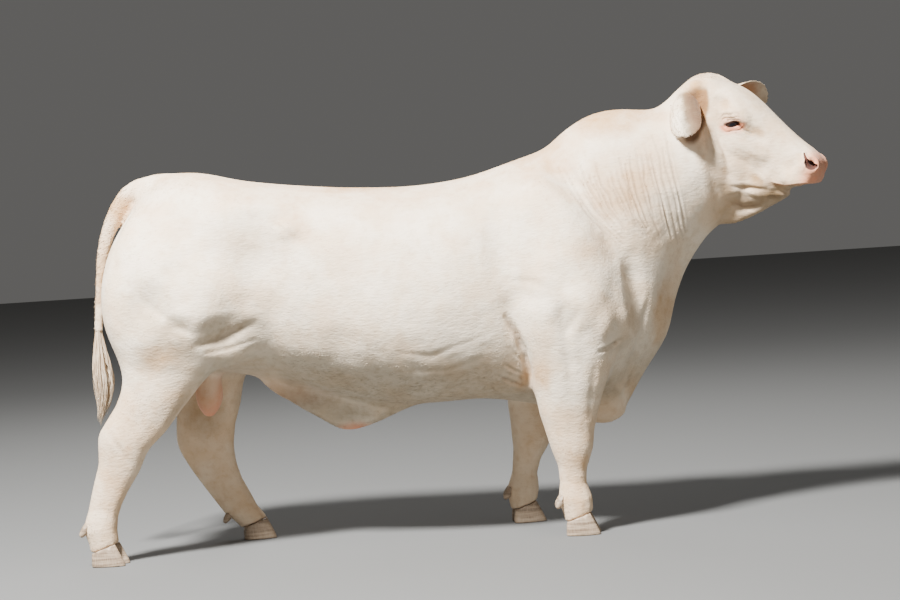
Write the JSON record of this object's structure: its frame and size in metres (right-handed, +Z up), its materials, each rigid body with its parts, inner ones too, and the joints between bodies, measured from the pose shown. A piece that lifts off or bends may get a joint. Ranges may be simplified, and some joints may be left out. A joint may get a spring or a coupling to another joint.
{
  "type": "charolais bull",
  "caption": "Life-size still model of a cream-white beef bull, polled and heavily muscled, standing square with its head turned aside.",
  "frame": {"origin": "the floor under the middle of the bull's bounds", "axes": "+X the way the bull faces, from tail to nose; +Y its left side; +Z up"},
  "size_m": [2.7674, 0.7514, 1.6263],
  "materials": {
    "cream_coat": "short cream-white hair over pink skin",
    "ear_coat": "cream hair, sparse and pinkish grey inside the cup",
    "pink_skin": "bare pink skin with fine cream hair",
    "tail_hair": "straw-cream long hair",
    "horn": "matt horn with faint growth rings",
    "eye_dark": "wet dark brown"
  },
  "bodies": {
    "root": {"torso": "cream_coat", "neck": "cream_coat", "head": "cream_coat", "tail": "cream_coat", "leg_front_right": "cream_coat", "leg_front_left": "cream_coat", "leg_hind_right": "cream_coat", "leg_hind_left": "cream_coat", "ear_right": "ear_coat", "ear_left": "ear_coat", "eye_right": "eye_dark", "eye_left": "eye_dark", "tail_switch": "tail_hair", "scrotum": "pink_skin", "claw_front_right_right": "horn", "dewclaw_front_right_right": "horn", "claw_front_right_left": "horn", "dewclaw_front_right_left": "horn", "claw_front_left_right": "horn", "dewclaw_front_left_right": "horn", "claw_front_left_left": "horn", "dewclaw_front_left_left": "horn", "claw_hind_right_right": "horn", "dewclaw_hind_right_right": "horn", "claw_hind_right_left": "horn", "dewclaw_hind_right_left": "horn", "claw_hind_left_right": "horn", "dewclaw_hind_left_right": "horn", "claw_hind_left_left": "horn", "dewclaw_hind_left_left": "horn"}
  },
  "joints": []
}
